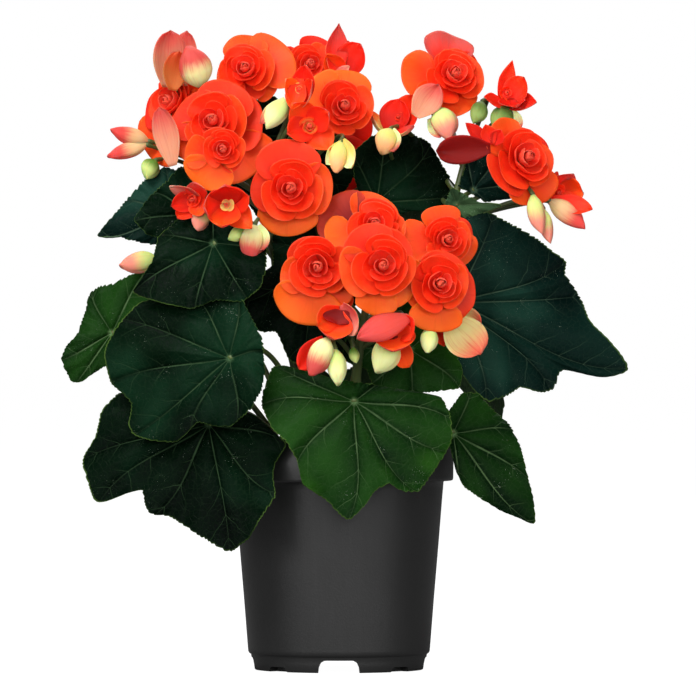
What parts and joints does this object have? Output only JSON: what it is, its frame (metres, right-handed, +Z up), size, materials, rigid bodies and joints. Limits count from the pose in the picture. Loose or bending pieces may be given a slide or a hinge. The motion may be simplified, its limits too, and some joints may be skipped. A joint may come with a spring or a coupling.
{
  "type": "potted begonia",
  "caption": "Flowering house plant in a round tapered grower's pot, with broad serrated leaves and double rosette blooms, for standing on a sill or table.",
  "frame": {"origin": "on the plane the pot stands on, under the middle of the plant's bounding box; the pot's own axis stands at x = -4.8 mm, y = +4 mm", "axes": "+Z up, -Y towards the front seen in the source, +X to its right"},
  "size_m": [0.3236, 0.2124, 0.3667],
  "materials": {
    "pot_plastic": "dark grey, matt injection-moulded or blown plastic",
    "soil": "dark brown, damp, crumbly",
    "stem": "olive green, fleshy",
    "leaf_mid_green": "mid green upper surface, soft sheen, pale veins",
    "leaf_dark_green": "very dark green upper surface, soft sheen, pale veins",
    "leaf_blue_green": "dark bluish green upper surface, soft sheen",
    "leaf_underside_grey": "grey-green underside",
    "petal_red_orange": "red centre running to orange outer petals, satin",
    "petal_orange": "orange, satin",
    "petal_deep_red": "deep shaded red, satin",
    "petal_pink": "pinkish red outside of a petal, satin",
    "petal_cream": "cream to pale green at the base, pink tips"
  },
  "bodies": {
    "root": {"nursery_pot": "pot_plastic", "potting_soil": "soil", "stem_left": "stem", "stem_middle": "stem", "stem_right": "stem", "stem_back": "stem", "leaf_front_centre": "leaf_mid_green", "leaf_left_large": "leaf_dark_green", "leaf_left_low": "leaf_dark_green", "leaf_far_left": "leaf_mid_green", "leaf_right_low": "leaf_mid_green", "leaf_right_large": "leaf_blue_green", "leaf_left_mid": "leaf_dark_green", "leaf_upper_left": "leaf_blue_green", "leaf_upper_left_inner": "leaf_dark_green", "leaf_top_centre": "leaf_dark_green", "leaf_small_grey": "leaf_underside_grey", "leaf_small_dark": "leaf_blue_green", "leaf_centre_high": "leaf_dark_green", "leaf_centre_low": "leaf_mid_green", "leaf_back_low": "leaf_dark_green", "leaf_back_left": "leaf_mid_green", "leaf_back_right": "leaf_dark_green", "leaf_back_upper": "leaf_dark_green", "leaf_back_top": "leaf_blue_green", "bloom_left_front": "petal_red_orange", "bloom_left_large": "petal_red_orange", "bloom_left_top": "petal_red_orange", "bloom_left_crown": "petal_red_orange", "bloom_left_small": "petal_red_orange", "bloom_left_side": "petal_red_orange", "bloom_top_rear": "petal_red_orange", "bloom_middle_left": "petal_red_orange", "bloom_middle": "petal_red_orange", "bloom_middle_right": "petal_red_orange", "bloom_middle_upper": "petal_red_orange", "bloom_right_inner": "petal_red_orange", "bloom_right_top": "petal_red_orange", "bloom_right_side": "petal_red_orange", "bloom_right_under": "petal_deep_red", "bloom_back_left": "petal_red_orange", "bloom_back_centre": "petal_red_orange", "bloom_back_right": "petal_red_orange", "bloom_back_low": "petal_red_orange", "cup_left_mid": "petal_orange", "cup_left_low": "petal_cream", "cup_far_left": "petal_orange", "cup_top": "petal_orange", "cup_crown": "petal_cream", "cup_right_cream": "petal_cream", "cup_low_red": "petal_deep_red", "cup_low_centre": "petal_orange", "cup_low_right": "petal_pink", "cup_right_points": "petal_orange", "cup_right_low": "petal_pink", "buds_upper_left": "petal_pink", "buds_far_left": "petal_pink", "bud_crown": "petal_cream", "buds_low_left": "petal_cream", "bud_low_right": "petal_cream"}
  },
  "joints": []
}
